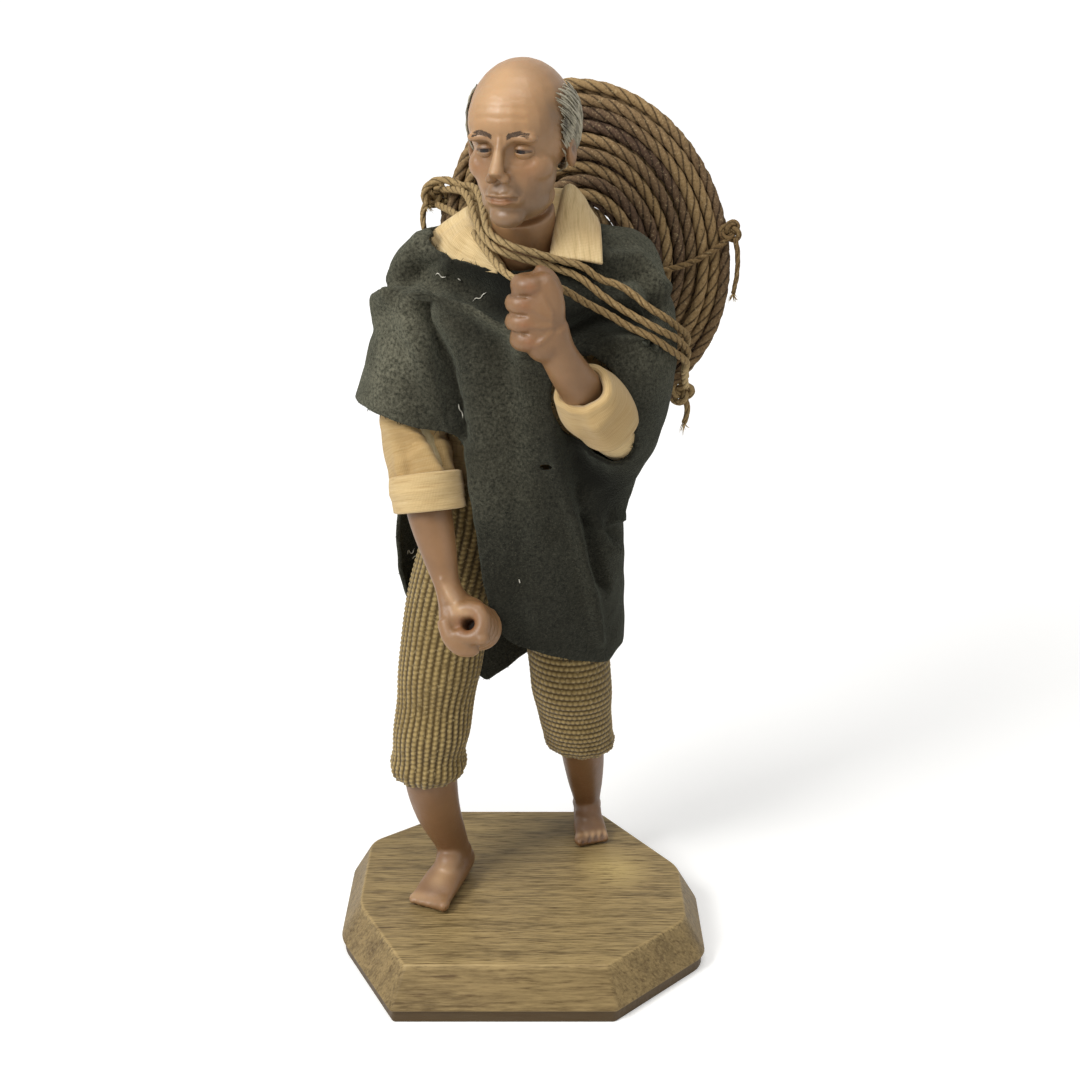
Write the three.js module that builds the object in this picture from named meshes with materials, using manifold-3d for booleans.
// Peasant figurine: wax head, hands and feet on a wire armature, padded with tow, dressed in
// linen, tweed and felt, with a coil of rope slung on the back, standing on an oak plinth.
// Millimetres, +Z up, the figure faces -Y, origin at the middle of the plinth's underside.

import * as THREE from 'three';
import { mergeVertices } from 'three/addons/utils/BufferGeometryUtils.js';
import Module from 'manifold-3d';

const wasm = await Module();
wasm.setup();

// Fits
const CLEARANCE = 0.3;          // gap kept between two pieces that touch
const SOLE_GAP = 0.2;           // gap between a foot and the plinth

// Plinth: a hand-cut octagon with a bevelled skirt and a small undercut lip
const PLINTH_LENGTH = 94;       // top face along X
const PLINTH_DEPTH = 82.4;      // top face along Y
const PLINTH_HEIGHT = 15;
const BEVEL_RUN = 6;            // how far the bevel spreads from the top edge to the lip
const LIP_HEIGHT = 4;
const LIP_UNDERCUT = 1;
// How much each corner is cut off along X and along Y
const CUT_FRONT_RIGHT_HAND = [15.2, 29.6];
const CUT_FRONT_LEFT_HAND = [23.2, 22.2];
const CUT_BACK_LEFT_HAND = [23, 32.8];
const CUT_BACK_RIGHT_HAND = [24, 18.4];

// Armature
const WIRE_DIAMETER = 2;
const PEG_DEPTH = 11;           // how deep a leg wire is set into the plinth

// Cloth
const FELT = 1.2;               // poncho
const LINEN = 0.8;              // shirt
const TWEED = 1;                // breeches
const CUFF_LINEN = 1.2;         // turned-back double linen of a cuff
const SEAM_HEIGHT = 101;        // height above the plinth where thigh padding meets the trunk

// Rope
const COIL_CORD = 2.4;          // diameter of the coiled rope
const COIL_GAP = 0.75;          // gap between neighbouring turns
const COIL_TURNS = 10;          // turns in each of the two layers
const COIL_INNER_RADIUS = 11;
const COIL_OVAL = 6;            // half the difference between the coil's height and its width
const COIL_DOME = 5;            // how far the middle of the coil stands towards the figure
const COIL_CENTRE = [20, 37.4, 181.5];
const COIL_TILT = THREE.MathUtils.degToRad(21);   // lean of the oval's long axis to the right shoulder
const SLING_CORD = 2.2;         // diameter of the sling strands
const TIE_CORD = 1.8;           // diameter of the cord that binds the coil
const KNOT_LOOP = 1.2;          // size of a knot, in diameters of its cord

// Head
const HEAD_CENTRE = [0.5, -5, 213.5];
const HEAD_WIDTH = 26;
const HEAD_LENGTH = 35;
const HEAD_HEIGHT = 42;
const HEAD_TURN = THREE.MathUtils.degToRad(-20);
const HEAD_BOW = THREE.MathUtils.degToRad(7);
const HAIR = 1.6;               // thickness of the fringe of hair
const STAFF_HOLE = 4.4;         // diameter of the hole through the right fist

const COIL_PITCH = COIL_CORD + COIL_GAP;

// Building helpers

const P = (x, y, height) => new THREE.Vector3(x, y, PLINTH_HEIGHT + height);

function geometryOf(vertices, triangles) {
  const geometry = new THREE.BufferGeometry();
  const positions = vertices.flatMap((v) => [v.x, v.y, v.z]);
  geometry.setAttribute('position', new THREE.Float32BufferAttribute(positions, 3));
  geometry.setIndex(triangles.flat());
  return geometry;
}

function solidOf(source) {
  const geometry = source.clone();
  geometry.deleteAttribute('normal');
  geometry.deleteAttribute('uv');
  const merged = mergeVertices(geometry, 1e-4);
  const vertProperties = new Float32Array(merged.attributes.position.array);
  const triVerts = new Uint32Array(merged.index.array);
  return new wasm.Manifold(new wasm.Mesh({ numProp: 3, vertProperties, triVerts }));
}

function geometryFrom(solid) {
  const mesh = solid.getMesh();
  const geometry = new THREE.BufferGeometry();
  geometry.setAttribute('position', new THREE.BufferAttribute(mesh.vertProperties, 3));
  geometry.setIndex(new THREE.BufferAttribute(mesh.triVerts, 1));
  return geometry;
}

const join = (...solids) => solids.reduce((whole, next) => whole.add(next));
const cut = (solid, ...cutters) => cutters.reduce((rest, next) => rest.subtract(next), solid);

// A closed skin over rings of equal length, with a flat cap at each end
function skin(rings, cap = null) {
  const sides = rings[0].length;
  const vertices = rings.flat();
  const triangles = [];
  for (let ring = 0; ring + 1 < rings.length; ring++) {
    for (let k = 0; k < sides; k++) {
      const a = ring * sides + k;
      const b = ring * sides + (k + 1) % sides;
      triangles.push([a, b, b + sides], [a, b + sides, a + sides]);
    }
  }
  const last = (rings.length - 1) * sides;
  const fan = cap ?? Array.from({ length: sides - 2 }, (_, k) => [0, k + 1, k + 2]);
  fan.forEach(([a, b, c]) => triangles.push([a, c, b], [last + a, last + b, last + c]));
  const volume = triangles.reduce((sum, [a, b, c]) => {
    const normal = new THREE.Vector3().crossVectors(vertices[b], vertices[c]);
    return sum + vertices[a].dot(normal);
  }, 0);
  const outward = volume > 0 ? triangles : triangles.map(([a, b, c]) => [a, c, b]);
  return solidOf(geometryOf(vertices, outward));
}

// A ring of points on an ellipse spanned by two directions; fold adds to the radius by angle
function ellipseRing(centre, across, along, rx, ry, sides, fold = () => 0) {
  return Array.from({ length: sides }, (_, k) => {
    const angle = (2 * Math.PI * k) / sides;
    const extra = fold(angle);
    return centre.clone()
      .addScaledVector(across, (rx + extra) * Math.cos(angle))
      .addScaledVector(along, (ry + extra) * Math.sin(angle));
  });
}

const X_AXIS = new THREE.Vector3(1, 0, 0);
const Y_AXIS = new THREE.Vector3(0, 1, 0);

// A solid through level ellipses; a station is [x, y, height, rx, ry], from the bottom up
function stack(stations, { sides = 24, grow = 0, reach = 0, fold = () => 0 } = {}) {
  const rings = stations.map(([x, y, height, rx, ry], index) => {
    const end = index === 0 ? -reach : index === stations.length - 1 ? reach : 0;
    const centre = P(x, y, height + end);
    const ripple = (angle) => fold(angle, height);
    return ellipseRing(centre, X_AXIS, Y_AXIS, rx + grow, ry + grow, sides, ripple);
  });
  return skin(rings);
}

// A smooth limb along a curve; a station is [x, y, height, rx, ry = rx]
function limb(stations, { sides = 12, rings = 3 * stations.length, grow = 0, reach = 0 } = {}) {
  const path = new THREE.CatmullRomCurve3(stations.map(([x, y, h]) => P(x, y, h)));
  const radii = stations.map(([, , , rx, ry = rx]) => new THREE.Vector3(rx + grow, ry + grow, 0));
  const girth = new THREE.CatmullRomCurve3(radii);
  let across = X_AXIS;
  const sections = [];
  for (let ring = 0; ring < rings; ring++) {
    const t = ring / (rings - 1);
    const tangent = path.getTangent(t);
    across = across.clone().addScaledVector(tangent, -across.dot(tangent)).normalize();
    const along = new THREE.Vector3().crossVectors(tangent, across);
    const centre = path.getPoint(t);
    if (ring === 0) centre.addScaledVector(tangent, -reach);
    if (ring === rings - 1) centre.addScaledVector(tangent, reach);
    const radius = girth.getPoint(t);
    sections.push(ellipseRing(centre, across, along, radius.x, radius.y, sides));
  }
  return skin(sections);
}

// A round tube through given points
function tube(points, radius, sides) {
  let across = Math.abs(points[1].clone().sub(points[0]).normalize().x) > 0.9 ? Y_AXIS : X_AXIS;
  const rings = points.map((point, k) => {
    const before = points[Math.max(k - 1, 0)];
    const after = points[Math.min(k + 1, points.length - 1)];
    const tangent = after.clone().sub(before).normalize();
    across = across.clone().addScaledVector(tangent, -across.dot(tangent)).normalize();
    const along = new THREE.Vector3().crossVectors(tangent, across);
    return ellipseRing(point, across, along, radius, radius, sides);
  });
  return skin(rings);
}

// A cord or wire through hand-placed stations, smoothed into a given number of steps
function cord(stations, diameter, { sides = 8, steps = 20, grow = 0 } = {}) {
  const curve = new THREE.CatmullRomCurve3(stations.map(([x, y, h]) => P(x, y, h)));
  return tube(curve.getSpacedPoints(steps), diameter / 2 + grow, sides);
}

function ellipsoid([x, y, height], [rx, ry, rz], segments, turn = null) {
  const geometry = new THREE.SphereGeometry(1, ...segments);
  geometry.rotateX(Math.PI / 2);
  geometry.scale(rx, ry, rz);
  if (turn) geometry.applyQuaternion(turn);
  const place = P(x, y, height);
  geometry.translate(place.x, place.y, place.z);
  return solidOf(geometry);
}

// A straight-sided block with a drawn outline of [x, height], from one depth in Y to another
function block(outline, yFrom, yTo) {
  const shape = new THREE.Shape(outline.map(([x, h]) => new THREE.Vector2(x, PLINTH_HEIGHT + h)));
  const geometry = new THREE.ExtrudeGeometry(shape, { depth: yTo - yFrom, bevelEnabled: false });
  geometry.rotateX(Math.PI / 2);
  geometry.translate(0, yTo, 0);
  return solidOf(geometry);
}

const slab = (from, to) => {
  const size = new THREE.Vector3().subVectors(to, from);
  const geometry = new THREE.BoxGeometry(size.x, size.y, size.z);
  geometry.translate(...from.clone().add(to).multiplyScalar(0.5).toArray());
  return solidOf(geometry);
};

const FAR = 200;                // half-size of cutting slabs, larger than the figure
const above = (height) => slab(P(-FAR, -FAR, height), P(FAR, FAR, height + FAR));
const below = (height) => slab(P(-FAR, -FAR, height - FAR), P(FAR, FAR, height));
const leftOf = (x) => slab(P(x, -FAR, -FAR), P(x + FAR, FAR, 2 * FAR));
const rightOf = (x) => slab(P(x - FAR, -FAR, -FAR), P(x, FAR, 2 * FAR));

// Materials: colour, roughness, metalness
const FINISH = {
  oak: [0x9a7b4f, 0.6, 0],
  steel: [0x8a8d90, 0.45, 0.9],
  tow: [0xc9b78f, 0.95, 0],
  wax: [0x9c6241, 0.45, 0],
  hair: [0x8d8a82, 0.9, 0],
  linen: [0xd8b878, 0.9, 0],
  tweed: [0x8c7346, 0.95, 0],
  felt: [0x33362f, 0.98, 0],
  rope: [0x7b5c38, 0.9, 0],
  twine: [0xb59a68, 0.9, 0],
};

const figurine = new THREE.Group();
figurine.name = 'peasant_figurine';

function addPiece(name, finish, solid) {
  const [color, roughness, metalness] = FINISH[finish];
  const material = new THREE.MeshStandardMaterial({ color, roughness, metalness });
  const mesh = new THREE.Mesh(geometryFrom(solid), material);
  mesh.name = name;
  figurine.add(mesh);
}

// Armature wires, from the peg in the plinth up to the trunk, and from the trunk out to the limbs
const RIGHT_LEG_LINE = [
  [-20.3, 2.6, -PEG_DEPTH], [-20.3, 2.6, 3], [-20.6, 2, 12], [-24.6, -2, 30],
  [-25.3, -3, 52], [-21.4, 3.5, 76], [-12, 10, 108],
];
const LEFT_LEG_LINE = [
  [20, 32.4, -PEG_DEPTH], [20, 32.4, 3], [19.8, 31, 11], [18.3, 21.5, 32],
  [15.2, 12.4, 54], [13.6, 9.6, 76], [9.5, 11, 108],
];
const SPINE_LINE = [
  [-0.5, 11.5, 112], [0, 11, 135], [0.5, 10.5, 160], [1.8, 6.5, 182], [1, -1.5, 206],
];
const RIGHT_ARM_LINE = [
  [-9, 10.5, 166], [-17, 10, 167], [-24.5, 7.5, 160], [-28.2, 1, 142], [-24, -9.4, 120],
];
const LEFT_ARM_LINE = [
  [9, 10.5, 166], [16, 10, 167], [24.5, 6.6, 162], [28.4, 0.5, 148], [18.6, -14.5, 151],
];

const wire = (line, grow = 0) => cord(line, WIRE_DIAMETER, { sides: 6, steps: 13, grow });
const WIRES = {
  right_leg_wire: RIGHT_LEG_LINE,
  left_leg_wire: LEFT_LEG_LINE,
  spine_wire: SPINE_LINE,
  right_arm_wire: RIGHT_ARM_LINE,
  left_arm_wire: LEFT_ARM_LINE,
};
const bores = Object.values(WIRES).map((line) => wire(line, CLEARANCE));
Object.entries(WIRES).forEach(([name, line]) => addPiece(name, 'steel', wire(line)));

// Plinth
function plinthOutline(spread) {
  const [x, y] = [PLINTH_LENGTH / 2, PLINTH_DEPTH / 2];
  const corners = [
    [-x + CUT_FRONT_RIGHT_HAND[0], -y], [x - CUT_FRONT_LEFT_HAND[0], -y],
    [x, -y + CUT_FRONT_LEFT_HAND[1]], [x, y - CUT_BACK_LEFT_HAND[1]],
    [x - CUT_BACK_LEFT_HAND[0], y], [-x + CUT_BACK_RIGHT_HAND[0], y],
    [-x, y - CUT_BACK_RIGHT_HAND[1]], [-x, -y + CUT_FRONT_RIGHT_HAND[1]],
  ].map(([px, py]) => new THREE.Vector2(px, py));
  return corners.map((corner, k) => {
    const before = corner.clone().sub(corners.at(k - 1)).normalize();
    const after = corners[(k + 1) % corners.length].clone().sub(corner).normalize();
    const normalBefore = new THREE.Vector2(before.y, -before.x);
    const normalAfter = new THREE.Vector2(after.y, -after.x);
    const mitre = normalBefore.clone().add(normalAfter).normalize();
    return corner.clone().addScaledVector(mitre, spread / mitre.dot(normalAfter));
  });
}

function plinth() {
  const levels = [
    [0, BEVEL_RUN - LIP_UNDERCUT], [LIP_HEIGHT, BEVEL_RUN - LIP_UNDERCUT],
    [LIP_HEIGHT, BEVEL_RUN], [PLINTH_HEIGHT, 0],
  ];
  const rings = levels.map(([z, spread]) => (
    plinthOutline(spread).map(({ x, y }) => new THREE.Vector3(x, y, z))
  ));
  const deeper = ([[x, y, height], ...rest]) => [[x, y, height - CLEARANCE], ...rest];
  const pegHoles = [RIGHT_LEG_LINE, LEFT_LEG_LINE].map((line) => wire(deeper(line), CLEARANCE));
  return cut(skin(rings), ...pegHoles);
}
addPiece('plinth', 'oak', plinth());

// Wax legs: a shin, a foot and five toes
const TOES = 5;
const TOE_STRETCH = 1.5;        // a toe's length over its width

// Toes fan out between the big toe and the little toe, each [x, y, half-width]
function toeRow([bigX, bigY, bigSize], [smallX, smallY, smallSize]) {
  const mix = THREE.MathUtils.lerp;
  return Array.from({ length: TOES }, (_, k) => {
    const t = k / (TOES - 1);
    return [mix(bigX, smallX, t), mix(bigY, smallY, t), mix(bigSize, smallSize, Math.sqrt(t))];
  });
}

function waxLeg(shin, sole, toes) {
  const toeSolids = toes.map(([x, y, size]) => (
    ellipsoid([x, y, size], [size, size * TOE_STRETCH, size], [5, 3])
  ));
  const shinSolid = limb(shin, { sides: 8, rings: 6 });
  const soleSolid = limb(sole, { sides: 8, rings: 5 });
  const form = join(shinSolid, soleSolid, ...toeSolids);
  return cut(form, below(SOLE_GAP), ...bores);
}

const RIGHT_SHIN = [
  [-25.8, -3.2, 46.5, 7], [-26.1, -3.1, 37, 7.6], [-24.4, -1.2, 25, 6.6], [-20.7, 2, 12, 4.9],
  [-19.6, 3.4, 3, 4.8],
];
const RIGHT_FOOT = [
  [-17.4, 8.4, 4, 3.6, 3.6], [-19.4, 3, 5, 4.8, 5], [-23.6, -6.5, 3.8, 6, 4], [-26.4, -12.5, 2, 6.4, 2.2],
];
const RIGHT_TOES = toeRow([-22.6, -15, 2.1], [-31.6, -11.4, 1.4]);
addPiece('right_lower_leg', 'wax', waxLeg(RIGHT_SHIN, RIGHT_FOOT, RIGHT_TOES));

const LEFT_SHIN = [
  [16.6, 16.6, 42, 6], [18.2, 21, 32.5, 6.5], [19.2, 26.4, 21, 5.6], [20, 31.6, 10, 4.2], [20, 33.4, 3, 4.2],
];
const LEFT_FOOT = [
  [20, 37.8, 3.8, 3.2, 3.4], [20.2, 32.6, 4.6, 4.2, 4.6], [20.8, 26, 3.6, 5, 3.8], [21.4, 22.2, 2, 5.2, 2.2],
];
const LEFT_TOES = toeRow([17.6, 20.4, 1.9], [25.6, 22.6, 1.3]);
addPiece('left_lower_leg', 'wax', waxLeg(LEFT_SHIN, LEFT_FOOT, LEFT_TOES));

// Breeches: two legs and a seat, hollow, sewn from a right and a left half along the middle
const RIGHT_BREECH = [
  [-26.9, -3.6, 36.8, 10.2, 10], [-25.2, -2.2, 54, 10.8, 10.6], [-22.4, 2, 75, 11.7, 11.7],
  [-18.6, 7, 92, 13, 13.4], [-13.6, 11, 112, 12.6, 15],
];
const LEFT_BREECH = [
  [17.8, 20, 32.4, 9.4, 9.4], [16.4, 16, 43, 10.2, 10.2], [15, 12, 55, 11.2, 11.2],
  [13.2, 9.6, 74, 11.8, 12.6], [11.6, 10.4, 92, 12.2, 13.4], [10.6, 11.6, 112, 12.2, 14.6],
];
const SEAT = [[-1, 11, 92, 22, 14], [-1, 11.4, 104, 25, 15.8], [-1, 11.2, 119, 24.4, 15.4]];
const MIDDLE = -1;              // X of the seam between the two halves of the breeches
const BREECH_GRID = { sides: 11, rings: 6 };

const breechForm = (grow, reach) => join(
  limb(RIGHT_BREECH, { ...BREECH_GRID, grow, reach }),
  limb(LEFT_BREECH, { ...BREECH_GRID, grow, reach }),
  stack(SEAT, { sides: 16, grow, reach }),
);
const breeches = cut(breechForm(0, 0), breechForm(-TWEED, TWEED));
addPiece('breeches_right_half', 'tweed', cut(breeches, leftOf(MIDDLE - CLEARANCE / 2)));
addPiece('breeches_left_half', 'tweed', cut(breeches, rightOf(MIDDLE + CLEARANCE / 2)));

// Thigh padding fills the breeches from above the wax leg to the trunk
function thighPadding(line, waxTop, halfPlane) {
  const form = limb(line, { ...BREECH_GRID, grow: -TWEED - CLEARANCE });
  return cut(form, below(waxTop), above(SEAM_HEIGHT), halfPlane, ...bores);
}
const RIGHT_WAX_TOP = RIGHT_SHIN[0][2] + 1.5;
const LEFT_WAX_TOP = LEFT_SHIN[0][2] + 4;
const rightThigh = thighPadding(RIGHT_BREECH, RIGHT_WAX_TOP, leftOf(MIDDLE - CLEARANCE));
const leftThigh = thighPadding(LEFT_BREECH, LEFT_WAX_TOP, rightOf(MIDDLE + CLEARANCE));
addPiece('right_thigh_padding', 'tow', rightThigh);
addPiece('left_thigh_padding', 'tow', leftThigh);

// Trunk: a tow-padded body inside the linen shirt
const TRUNK = [
  [-1, 11.4, SEAM_HEIGHT + 2 * CLEARANCE, 20, 12.4], [-1, 11.2, 122, 21, 13], [0, 10.6, 148, 22, 14],
  [1, 10.4, 168, 22.5, 13.4], [1.4, 9.6, 177, 19, 11.6], [1.6, 8.8, 181, 13.6, 9.6],
];
const shirtForm = (grow, reach = 0) => stack(TRUNK, { sides: 14, grow, reach });
const SHIRT_OUT = CLEARANCE + LINEN;
addPiece('trunk_padding', 'tow', cut(shirtForm(0), ...bores));

// Arms: padded upper arms in linen sleeves, wax forearms, turned-back cuffs
const RIGHT_SLEEVE = [[
  [-17, 10, 172, 9.4, 10.4], [-23.6, 8, 163, 9.4, 10], [-27.6, 3.6, 149, 9, 9.4],
  [-28.2, 0, 138, 8.8, 9], [-26.4, -4.6, 130, 8.6, 8.6], [-24.8, -8.2, 123.4, 8.4, 8.4],
]];
const LEFT_SLEEVE = [
  [[17, 10, 172, 9.4, 10.4], [24.4, 8, 163, 9.4, 10], [27.8, 3, 149, 9, 9.4], [28.2, -2, 137, 8.6]],
  [[28.2, -2.2, 137.6, 8.6, 8.6], [24.4, -7, 143.6, 8.8, 8.8], [19.6, -13.4, 150, 8.2, 8.2]],
];
const SLEEVE_GRID = { sides: 9, rings: 5 };
const sleeveForm = (runs, grow, reach = 0) => (
  join(...runs.map((run) => limb(run, { ...SLEEVE_GRID, grow, reach })))
);
const armholes = [RIGHT_SLEEVE, LEFT_SLEEVE].map((runs) => sleeveForm(runs, CLEARANCE));
const shirtShell = cut(shirtForm(SHIRT_OUT), shirtForm(CLEARANCE, LINEN));
addPiece('shirt_body', 'linen', cut(shirtShell, ...armholes, ...bores));

function sleeve(runs) {
  const shell = cut(sleeveForm(runs, 0), sleeveForm(runs, -LINEN, LINEN));
  return cut(shell, shirtForm(SHIRT_OUT + CLEARANCE));
}
addPiece('right_sleeve', 'linen', sleeve(RIGHT_SLEEVE));
addPiece('left_sleeve', 'linen', sleeve(LEFT_SLEEVE));

// Wax forearms, each ending in a fist
const RIGHT_FOREARM = [
  [-26.2, -5, 128.6, 5.6], [-24, -9.6, 119.6, 6], [-21.4, -13.6, 109.6, 4.8],
  [-19.3, -16.8, 102, 3.5, 3.8], [-17.4, -19.2, 97.4, 4.4, 4.6],
];
const LEFT_FOREARM = [
  [23.6, -8, 144.6, 5.2], [18, -15, 152, 5.4], [13.6, -20.4, 159.6, 4.5],
  [10.2, -24, 166, 3.7, 4], [7.4, -25.2, 172, 5, 4.4],
];
const forearmForm = (line, grow = 0) => limb(line, { sides: 9, rings: 8, grow });

function armPadding(runs, forearmLine) {
  const form = limb(runs[0], { ...SLEEVE_GRID, grow: -LINEN - CLEARANCE });
  const clear = [shirtForm(SHIRT_OUT + CLEARANCE), forearmForm(forearmLine, CLEARANCE)];
  return cut(form, ...clear, below(forearmLine[0][2] + 3), ...bores);
}
addPiece('right_arm_padding', 'tow', armPadding(RIGHT_SLEEVE, RIGHT_FOREARM));
addPiece('left_arm_padding', 'tow', armPadding(LEFT_SLEEVE, LEFT_FOREARM));

// The right fist closes round a hole for a staff, which leans a little forward
const RIGHT_FIST = [-14, -21, 92.6];
const RIGHT_PALM = [-17, -20, 94.4];
const STAFF_LEAN = THREE.MathUtils.degToRad(70);
const RIGHT_THUMB = [[-17, -23.4, 98, 2.1], [-12.6, -25.2, 98, 2.1], [-8.6, -23.8, 94.6, 2.1]];
const FINGER = 2;               // half-thickness of the curled fingers
const FIST_HALF_WIDTH = 7;      // half of the four fingers' width along the hole
const GRIP = STAFF_HOLE / 2 + FINGER * 0.9;
const THUMB_GRID = { sides: 5, rings: 4 };
function rightFist() {
  const fingers = new THREE.TorusGeometry(GRIP, FINGER, 6, 9);
  fingers.scale(1, 1, FIST_HALF_WIDTH / FINGER);
  const hole = new THREE.CylinderGeometry(STAFF_HOLE / 2, STAFF_HOLE / 2, 6 * FIST_HALF_WIDTH, 9);
  hole.rotateX(Math.PI / 2);
  [fingers, hole].forEach((geometry) => {
    geometry.rotateX(STAFF_LEAN);
    geometry.translate(...P(...RIGHT_FIST).toArray());
  });
  const palm = ellipsoid(RIGHT_PALM, [4.6, 6.4, 5], [7, 5]);
  const thumb = limb(RIGHT_THUMB, THUMB_GRID);
  return cut(join(palm, thumb, solidOf(fingers)), solidOf(hole));
}
addPiece('right_forearm', 'wax', cut(join(forearmForm(RIGHT_FOREARM), rightFist()), ...bores));

// The left fist holds the sling against the chest: knuckles in front, fingertips curled behind
const LEFT_FIST = [5.6, -25.6, 177];
const LEFT_KNUCKLES = [[0.2, 169.6], [-0.9, 174], [-0.9, 178.6], [0.4, 183]];
const LEFT_THUMB = [[9.4, -22.6, 181, 2.4], [7.4, -21.2, 186, 2.2], [3.6, -21.4, 187.4, 2]];
const curledFinger = ([x, h]) => [
  [x + 3, -28, h, 2.3], [x, -25.6, h, 2.4], [x + 1.6, -21.6, h, 2.2], [x + 5, -20.6, h, 2],
];
function leftFist() {
  const palm = ellipsoid(LEFT_FIST, [6.2, 4.6, 10.4], [8, 5]);
  const fingers = LEFT_KNUCKLES.map((place) => limb(curledFinger(place), THUMB_GRID));
  return join(palm, limb(LEFT_THUMB, THUMB_GRID), ...fingers);
}
const leftForearm = join(forearmForm(LEFT_FOREARM), leftFist());

// A cuff is a band around the end of its sleeve that runs on past it
const RIGHT_CUFF = [
  [-26.2, -5.6, 128.6, 10, 10.2], [-24.6, -8.8, 122.4, 10.3, 10.3], [-23.2, -11.8, 117, 10.2, 10.2],
];
const LEFT_CUFF = [
  [22.4, -9.4, 146, 10.4, 10.4], [18.8, -14.2, 151, 10.8, 10.8], [15.6, -18.2, 155.6, 10.4, 10.4],
];
const cuffForm = (line, grow = 0, reach = 0) => limb(line, { sides: 14, rings: 3, grow, reach });
function cuff(line, runs) {
  const band = cut(cuffForm(line), cuffForm(line, -CUFF_LINEN, CUFF_LINEN));
  return cut(band, sleeveForm(runs, CLEARANCE));
}
addPiece('right_cuff', 'linen', cuff(RIGHT_CUFF, RIGHT_SLEEVE));
addPiece('left_cuff', 'linen', cuff(LEFT_CUFF, LEFT_SLEEVE));

// Head: a plain skull, jaw, nose, ears and neck, turned to its right and slightly bowed
const HEAD_ANGLES = new THREE.Euler(HEAD_BOW, 0, HEAD_TURN, 'ZYX');
const HEAD_POSE = new THREE.Quaternion().setFromEuler(HEAD_ANGLES);
const NECK = [[0.8, -2, 198, 8.2, 8.6], [1.6, 3, 188, 8.4, 8.6], [1.7, 7.4, 181.3, 9.4, 8.2]];

// An ellipsoid of the head, placed and turned with it
function onHead(offset, half, segments, grow) {
  const place = new THREE.Vector3(...offset).applyQuaternion(HEAD_POSE);
  place.add(new THREE.Vector3(...HEAD_CENTRE));
  return ellipsoid(place.toArray(), half.map((size) => size + grow), segments, HEAD_POSE);
}
const SKULL_HALF = [HEAD_WIDTH / 2, HEAD_LENGTH / 2 - 2, HEAD_HEIGHT / 2 - 5];
const skull = (grow) => onHead([0, 2, 5], SKULL_HALF, [11, 7], grow);
const headForm = (grow) => join(
  skull(grow),
  onHead([0, -4, -6], [10, 12, HEAD_HEIGHT / 2 - 6], [10, 7], grow),
  onHead([0, -16, -3], [2.2, 3, 4.4], [6, 4], grow),
  onHead([HEAD_WIDTH / 2 - 0.5, 1, -2], [1.6, 2.8, 4.4], [6, 4], grow),
  onHead([0.5 - HEAD_WIDTH / 2, 1, -2], [1.6, 2.8, 4.4], [6, 4], grow),
  limb(NECK, { sides: 10, rings: 4, grow }),
);
addPiece('head', 'wax', cut(headForm(0), below(TRUNK.at(-1)[2] + CLEARANCE), ...bores));

// Hair: a fringe round the sides and back of the skull, below a bald crown
function hair() {
  const fringe = cut(skull(CLEARANCE + HAIR), headForm(CLEARANCE));
  const trim = (from, to) => {
    const size = new THREE.Vector3().subVectors(to, from);
    const box = new THREE.BoxGeometry(size.x, size.y, size.z);
    box.translate(...from.clone().add(to).multiplyScalar(0.5).toArray());
    box.applyQuaternion(HEAD_POSE);
    box.translate(...P(...HEAD_CENTRE).toArray());
    return solidOf(box);
  };
  const crown = trim(new THREE.Vector3(-FAR, -FAR, 11), new THREE.Vector3(FAR, FAR, FAR));
  const brow = trim(new THREE.Vector3(-FAR, -FAR, -FAR), new THREE.Vector3(FAR, -1, FAR));
  const nape = trim(new THREE.Vector3(-FAR, -FAR, -FAR), new THREE.Vector3(FAR, FAR, -6));
  return cut(fringe, crown, brow, nape);
}
addPiece('hair', 'hair', hair());

// Collar: a stand on the shirt's neck and a turned-down flap, open in front
const COLLAR_CENTRE = [1.6, 8.8];
const COLLAR_HALF_ARC = THREE.MathUtils.degToRad(128);
const COLLAR_RISE = 200;        // height of the fold on the left side and at the back
const COLLAR_PRESSED = 191.5;   // height of the fold under the sling on the right side
const COLLAR_STEPS = 18;
function collar() {
  const { smoothstep, lerp } = THREE.MathUtils;
  const foot = TRUNK.at(-1);
  const [x, y] = COLLAR_CENTRE;
  const rings = Array.from({ length: COLLAR_STEPS + 1 }, (_, k) => {
    const angle = lerp(-COLLAR_HALF_ARC, COLLAR_HALF_ARC, k / COLLAR_STEPS);
    const at = (rx, ry, h) => P(x + rx * Math.sin(angle), y + ry * Math.cos(angle), h);
    const open = smoothstep(Math.abs(angle), 1.5, COLLAR_HALF_ARC);
    const top = lerp(lerp(COLLAR_PRESSED, COLLAR_RISE, smoothstep(angle, -1.1, -0.2)), 190, open);
    const edge = lerp(Math.min(top - 3, 193), 185, open);
    const [rx, ry] = [foot[3] - 0.4, foot[4] - 0.4];
    return [
      at(rx, ry, foot[2] + CLEARANCE), at(rx - 1.8, ry + 0.4, top),
      at(21, 10.8, edge), at(20.6, 10.4, edge - LINEN),
      at(rx - 0.9, ry + 1, top - 2 * LINEN), at(rx + LINEN, ry + LINEN, foot[2] + CLEARANCE),
    ];
  });
  const cap = [[0, 1, 4], [0, 4, 5], [1, 2, 3], [1, 3, 4]];
  return cut(skin(rings, cap), headForm(CLEARANCE));
}
addPiece('shirt_collar', 'linen', collar());

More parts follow.
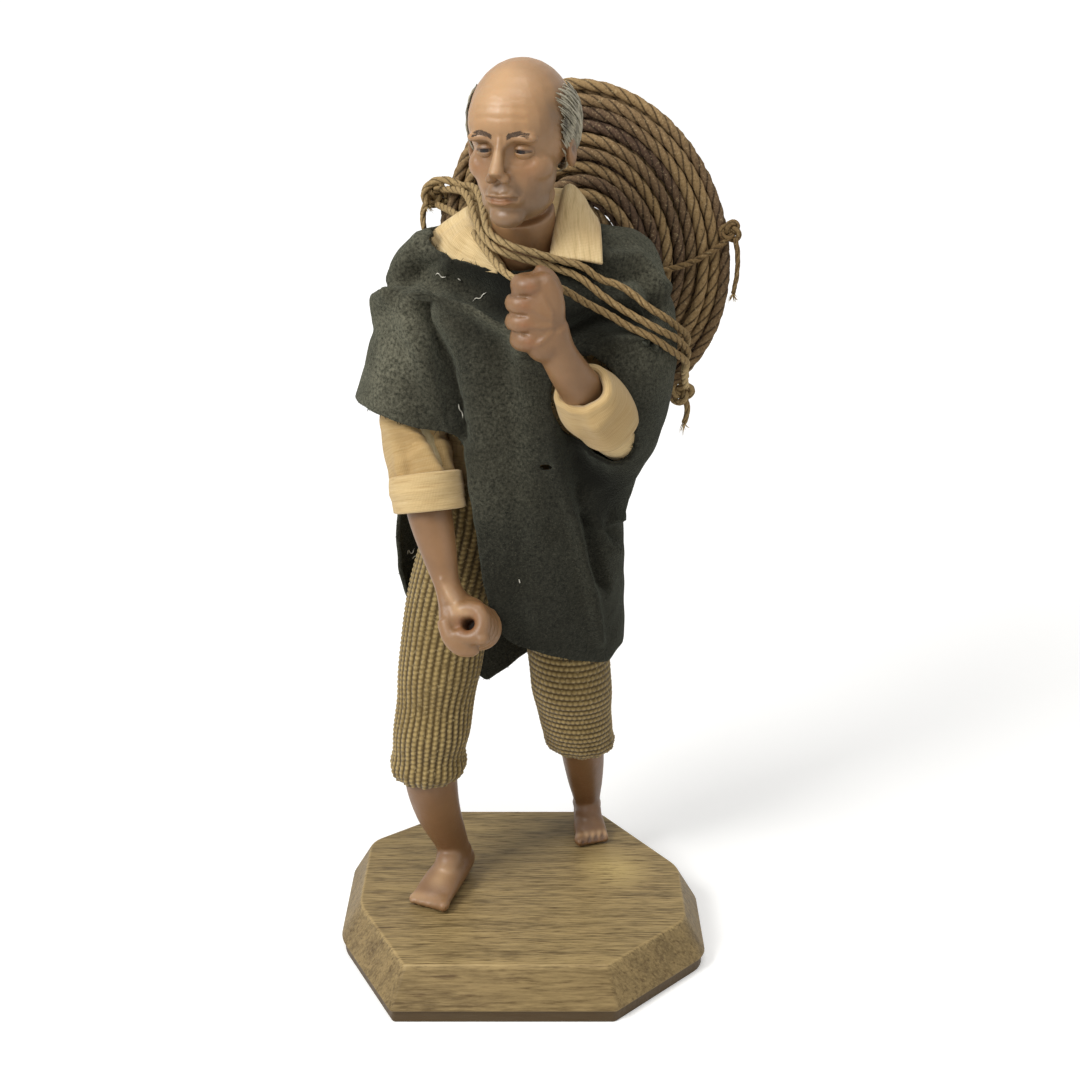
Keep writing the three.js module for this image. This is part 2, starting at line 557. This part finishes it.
// Poncho: one felt shell with a neck hole, a wide wing over each arm and a front and a back panel
const PONCHO = [
  [-1.6, 8, 46, 32.6, 23.4], [-1.6, 8.2, 88, 32.6, 22.8], [-1, 9, 125, 30.6, 22], [1, 9, 147, 31, 22],
  [2, 9, 168, 36.2, 21.8], [2, 9.6, 175, 36.8, 20.4], [2.2, 10.4, 181, 36, 17], [2.5, 10.4, 187, 33, 15],
  [2, 10, 190.4, 28.5, 14], [0, 9.4, 191.6, 24.4, 13],
];
const RIGHT_WING = [[-30.3, 5, 138, 14.5, 17], [-25, 7.5, 167, 14.3, 16.5], [-16, 9.5, 186, 12, 13]];
const LEFT_WING = [
  [21, 6, 113, 8.4, 11], [22.5, 3.5, 126, 10.8, 13.5], [26, 2, 140, 13.2, 17],
  [27.5, 4, 156, 14.5, 18.5], [26, 8.5, 172, 14.5, 17], [18, 10, 187, 13, 13],
];
// Folds: [angle from the front, lean per mm of height, half-width, depth, lowest, highest]
const FOLDS = [
  [-0.42, 0.0016, 0.16, -2.2, 40, 172], [-0.12, 0.001, 0.2, 1.6, 30, 168],
  [0.42, 0.002, 0.16, -3.2, 110, 172], [0.72, 0.003, 0.14, 1.8, 30, 140], [0.98, 0.003, 0.12, -1, 60, 130],
  [2.5, 0, 0.2, -1.8, 30, 170], [3.1, 0.001, 0.22, 1.8, 30, 170], [3.7, 0, 0.2, -1.8, 30, 170],
];
const FRONT = -Math.PI / 2;     // direction of the figure's front, measured from +X
const FOLD_FADE = 20;           // height over which a fold dies away

function feltFold(angle, height) {
  return FOLDS.reduce((sum, [place, lean, halfWidth, depth, lowest, highest]) => {
    const centre = FRONT + place + lean * (height - lowest);
    const away = Math.atan2(Math.sin(angle - centre), Math.cos(angle - centre)) / halfWidth;
    const inside = Math.min(highest - height, height - lowest) / FOLD_FADE;
    const fade = THREE.MathUtils.clamp(inside, 0, 1);
    return sum + depth * fade * Math.exp(-away * away);
  }, 0);
}

// The lower edge of the front with the open right side, and of the back, as outlines to cut away
const FRONT_HEM = [
  [-60, 142], [-16.7, 142], [-14.7, 137.5], [-9.4, 96], [-4.2, 84], [14.9, 77], [24.7, 73.5],
  [27.4, 77], [60, 77], [60, 20], [-60, 20],
];
const BACK_HEM = [
  [-60, 142], [-35.6, 142], [-34.6, 99], [-32.4, 83], [-11.4, 51], [0.2, 61], [27.4, 72],
  [60, 72], [60, 20], [-60, 20],
];
const LEFT_ARM_OPENING = [
  [9, 163], [18.7, 164.4], [24, 161.5], [27.5, 151], [30.3, 138], [29, 128], [28.5, 115],
  [17, 115], [13, 135], [9, 150],
];
// The front of the neck hole hangs open below the throat
const NECK_DROOP = [
  [-23, 187], [-18, 181.5], [-4, 175], [6, 176], [12, 184], [14, 196], [-23, 196],
];
const HEM_SPLIT = 14;           // Y where the front hem gives way to the back hem
const WING_SIDES = 14;
const NECK_ROOM = 2.4;          // gap between the poncho's neck edge and the throat

function ponchoForm(thickness) {
  const inset = ([x, y, h, rx, ry]) => [x, y, h - thickness, rx - thickness, ry - thickness];
  const body = PONCHO.map(inset);
  const [x, y, h, rx, ry] = body.at(-1);
  const neck = thickness > 0 ? [[x, y, h + 3 * thickness, rx, ry]] : [];
  return join(
    stack([...body, ...neck], { sides: 32, fold: feltFold }),
    stack(RIGHT_WING.map(inset), { sides: WING_SIDES }),
    stack(LEFT_WING.map(inset), { sides: WING_SIDES }),
  );
}

function poncho() {
  const shell = cut(ponchoForm(0), ponchoForm(FELT));
  const edges = [
    block(FRONT_HEM, -FAR, HEM_SPLIT), block(BACK_HEM, HEM_SPLIT, FAR),
    block(LEFT_ARM_OPENING, -FAR, 0), block(NECK_DROOP, -FAR, 4),
  ];
  const worn = [
    shirtForm(SHIRT_OUT + CLEARANCE), ...armholes, breechForm(CLEARANCE, 0),
    cuffForm(RIGHT_CUFF, CLEARANCE), cuffForm(LEFT_CUFF, CLEARANCE),
    limb(NECK, { sides: 12, rings: 3, grow: NECK_ROOM }),
  ];
  return cut(shell, ...edges, ...worn);
}
addPiece('poncho', 'felt', poncho());

// Rope coil: one rope, spiralling in through the layer away from the figure and out through the
// layer next to it, climbing from one to the other in the half turn where the spiral reverses
const COIL_LOOP_STEPS = 16;
const COIL_SIDES = 6;
const COIL_START = THREE.MathUtils.degToRad(142);
const COIL_LENGTH_TURNS = 2 * COIL_TURNS - 0.61;
const COIL_OUTER_RADIUS = COIL_INNER_RADIUS + COIL_PITCH * COIL_TURNS;

const coilAngle = (turns) => COIL_START + 2 * Math.PI * turns;
const coilRadius = (turns) => COIL_INNER_RADIUS + COIL_PITCH * Math.abs(turns - COIL_TURNS);

// A place in the coil's round, behind its middle surface by a depth
function coilPlace(radius, angle, depth) {
  const dome = COIL_DOME * (1 - radius / COIL_OUTER_RADIUS);
  const round = new THREE.Vector2(
    (radius - COIL_OVAL / 2) * Math.cos(angle), (radius + COIL_OVAL / 2) * Math.sin(angle),
  ).rotateAround(new THREE.Vector2(), COIL_TILT);
  return P(COIL_CENTRE[0] + round.x, COIL_CENTRE[1] + depth - dome, COIL_CENTRE[2] + round.y);
}

function coilPoint(turns) {
  const layer = THREE.MathUtils.clamp(2 * (COIL_TURNS - turns), -0.5, 0.5);
  return coilPlace(coilRadius(turns), coilAngle(turns), layer * COIL_PITCH);
}

function coilPath() {
  const steps = Math.round(COIL_LENGTH_TURNS * COIL_LOOP_STEPS);
  const turnsAt = (k) => (COIL_LENGTH_TURNS * k) / steps;
  const points = Array.from({ length: steps + 1 }, (_, k) => coilPoint(turnsAt(k)));
  const straight = (end, next) => end.clone().add(end.clone().sub(next).setLength(COIL_CORD));
  return [straight(points[0], points[1]), ...points, straight(points.at(-1), points.at(-2))];
}

// The least clear distance between two stretches that are not neighbours along the rope
function coilLeastGap(points) {
  const near = Math.ceil(COIL_LOOP_STEPS / 3);
  let least = Infinity;
  points.forEach((point, a) => {
    for (let b = a + near; b + 1 < points.length; b++) {
      const stretch = new THREE.Line3(points[b], points[b + 1]);
      const closest = stretch.closestPointToPoint(point, true, new THREE.Vector3());
      least = Math.min(least, closest.distanceTo(point));
    }
  });
  return least - COIL_CORD;
}

const lengthOf = (points) => points.slice(1).reduce((sum, p, k) => sum + p.distanceTo(points[k]), 0);

const coil = coilPath();
console.log(`rope coil: least gap to itself ${coilLeastGap(coil).toFixed(2)} mm`);
console.log(`rope coil: length ${lengthOf(coil).toFixed(0)} mm`);
addPiece('rope_coil', 'rope', tube(coil, COIL_CORD / 2, COIL_SIDES));

// Knots: a trefoil of the cord with a loose end, one lobe against the coil's rim
const KNOT_REACH = 1.5 * KNOT_LOOP + 0.5;   // from a knot's middle to its lobe, in cord diameters
const KNOT_DEPTH = 0.5 * KNOT_LOOP + 0.5;   // from a knot's middle to its face, in cord diameters
const rimAt = (turns, cordSize) => coilRadius(turns) + COIL_CORD / 2 + CLEARANCE + cordSize;

function knot(place, towards, diameter, tail) {
  const geometry = new THREE.TorusKnotGeometry(KNOT_LOOP * diameter, diameter / 2, 24, 5, 2, 3);
  geometry.rotateZ(towards);
  geometry.rotateX(Math.PI / 2);
  geometry.translate(...place.toArray());
  const curve = new THREE.CatmullRomCurve3(tail.map((offset) => new THREE.Vector3(...offset).add(place)));
  return join(solidOf(geometry), tube(curve.getSpacedPoints(4), diameter / 2, 8));
}

const LAYER = COIL_PITCH / 2;   // depth of a layer's middle from the coil's middle surface
const SHOULDER_KNOT = coilPlace(rimAt(0, KNOT_REACH * SLING_CORD), coilAngle(0), LAYER - 1);
const LOWER_KNOT = coilPlace(
  rimAt(COIL_LENGTH_TURNS, KNOT_REACH * SLING_CORD), coilAngle(COIL_LENGTH_TURNS), -LAYER,
);
const SHOULDER_TAIL = [[-2.6, -1.6, -2], [-3.6, -2.4, -5], [-3.4, -3, -9]];
const LOWER_TAIL = [[1.6, 0, -2.6], [2.2, 0.4, -6], [1.4, 0.6, -9.6]];
const toRim = (turns) => coilAngle(turns) + COIL_TILT + Math.PI;
const rimKnot = (place, turns, tail) => knot(place, toRim(turns), SLING_CORD, tail);
addPiece('shoulder_knot', 'twine', rimKnot(SHOULDER_KNOT, 0, SHOULDER_TAIL));
addPiece('lower_knot', 'twine', rimKnot(LOWER_KNOT, COIL_LENGTH_TURNS, LOWER_TAIL));

// Sling: three strands from the knot at the right shoulder, across the chest and round the left
// arm to the knot at the coil's lower edge; the lowest strand runs through the left fist
const SLING_LAY = SLING_CORD + 2 * CLEARANCE;   // from strand to strand where they lie together
const besideKnot = (place, offset) => {
  const point = new THREE.Vector3(...offset).add(place);
  return [point.x, point.y, point.z - PLINTH_HEIGHT];
};
const FACE = -(KNOT_DEPTH * SLING_CORD + CLEARANCE);
const SLING_FIST = [
  besideKnot(SHOULDER_KNOT, [0.6, FACE, -2.5]), [-17.3, 19, 193.7], [-14, 10, 192.2], [-10.6, 0.5, 190],
  [-6.4, -11, 186.6], [-2.5, -19, 184.3], [1.6, -21.3, 183.2], [6.5, -21.5, 182.3],
  [10.7, -20.5, 181.1], [16, -16, 177.2], [22.9, -12.4, 172.9], [27.8, -11.4, 169.8],
  [33.8, -10.6, 166.8], [39, -7.2, 162.8], [43.4, 1, 158.2], [44.8, 11, 154.6], [45.4, 22, 150.6],
  besideKnot(LOWER_KNOT, [1.2, FACE, 2.3]),
];
const SLING_MIDDLE = [
  besideKnot(SHOULDER_KNOT, [1.9, FACE, 1.8]), [-15.2, 21, 199.2], [-12.8, 12, 197.3],
  [-11.4, 4, 194.8], [-8.9, -3.8, 191.2], [-4.7, -9.6, 188.6], [2.3, -9.5, 186.3], [9.3, -8.4, 184.1],
  [15.1, -9, 181.9], [20.9, -10.4, 177.6], [25.8, -10.8, 174.3], [31.1, -11, 171.3],
  [36.4, -9.6, 168.2], [40.8, -4, 164.9], [44.2, 4, 160.2], [45.2, 14, 156.2], [45.6, 24, 152.8],
  besideKnot(LOWER_KNOT, [1.2, FACE, 2.3 + SLING_LAY]),
];
const SLING_TOP = [
  besideKnot(SHOULDER_KNOT, [1.9 + SLING_LAY, FACE, 2.4]), [-12.6, 21, 200.6], [-10.2, 12, 198.6],
  [-9.2, 4, 196.4], [-7.4, -5.6, 192.7], [-2.7, -11, 190.4], [3.3, -11.2, 188.6], [10.3, -10, 186.4],
  [15.9, -9, 184.6], [20.5, -8, 181.3], [25, -8.2, 179.8], [28.8, -8.4, 177.5], [32.7, -9, 174.4],
  [37.2, -7.8, 171.4], [41, -2.6, 167.8], [44.2, 6, 163.6], [45.2, 16, 159.2], [45.6, 26, 155],
  besideKnot(LOWER_KNOT, [1.2, FACE, 2.3 + 2 * SLING_LAY]),
];
const SLING_GRID = { sides: 8, steps: 23 };
const sling = (line, grow = 0) => cord(line, SLING_CORD, { ...SLING_GRID, grow });
addPiece('sling_strand_fist', 'twine', sling(SLING_FIST));
addPiece('sling_strand_middle', 'twine', sling(SLING_MIDDLE));
addPiece('sling_strand_top', 'twine', sling(SLING_TOP));
addPiece('left_forearm', 'wax', cut(leftForearm, sling(SLING_FIST, CLEARANCE), ...bores));

// Tie: a cord round the coil's turns, through its middle, knotted at the rim
const TIE_TURN = 0.57;
const TIE_STEPS = 6;            // steps along each face of the coil
const TIE_WRAP = COIL_CORD / 2 + CLEARANCE + TIE_CORD / 2;
function tieLine() {
  const outer = coilRadius(TIE_TURN) + TIE_WRAP;
  const inner = COIL_INNER_RADIUS - TIE_WRAP;
  const face = LAYER + TIE_WRAP;
  const corner = TIE_WRAP / 2;
  const run = Array.from({ length: TIE_STEPS + 1 }, (_, k) => (
    THREE.MathUtils.lerp(outer - corner, inner + corner, k / TIE_STEPS)
  ));
  const half = (side) => [
    [outer, side * TIE_CORD * 0.7], [outer, side * (face - corner)],
    ...run.map((radius) => [radius, side * face]), [inner, side * (face - corner)],
  ];
  return [...half(-1), ...half(1).reverse()].map(([radius, depth]) => (
    coilPlace(radius, coilAngle(TIE_TURN), depth)
  ));
}
addPiece('coil_tie', 'twine', tube(tieLine(), TIE_CORD / 2, 8));
const TIE_KNOT = coilPlace(
  rimAt(TIE_TURN, TIE_CORD + CLEARANCE + KNOT_REACH * TIE_CORD), coilAngle(TIE_TURN), 0,
);
const TIE_TAIL = [[0.6, -0.8, -2.4], [1, -1.4, -8], [0, -1.8, -14], [-0.8, -1.6, -19]];
addPiece('coil_tie_knot', 'twine', knot(TIE_KNOT, toRim(TIE_TURN), TIE_CORD, TIE_TAIL));

export default figurine;
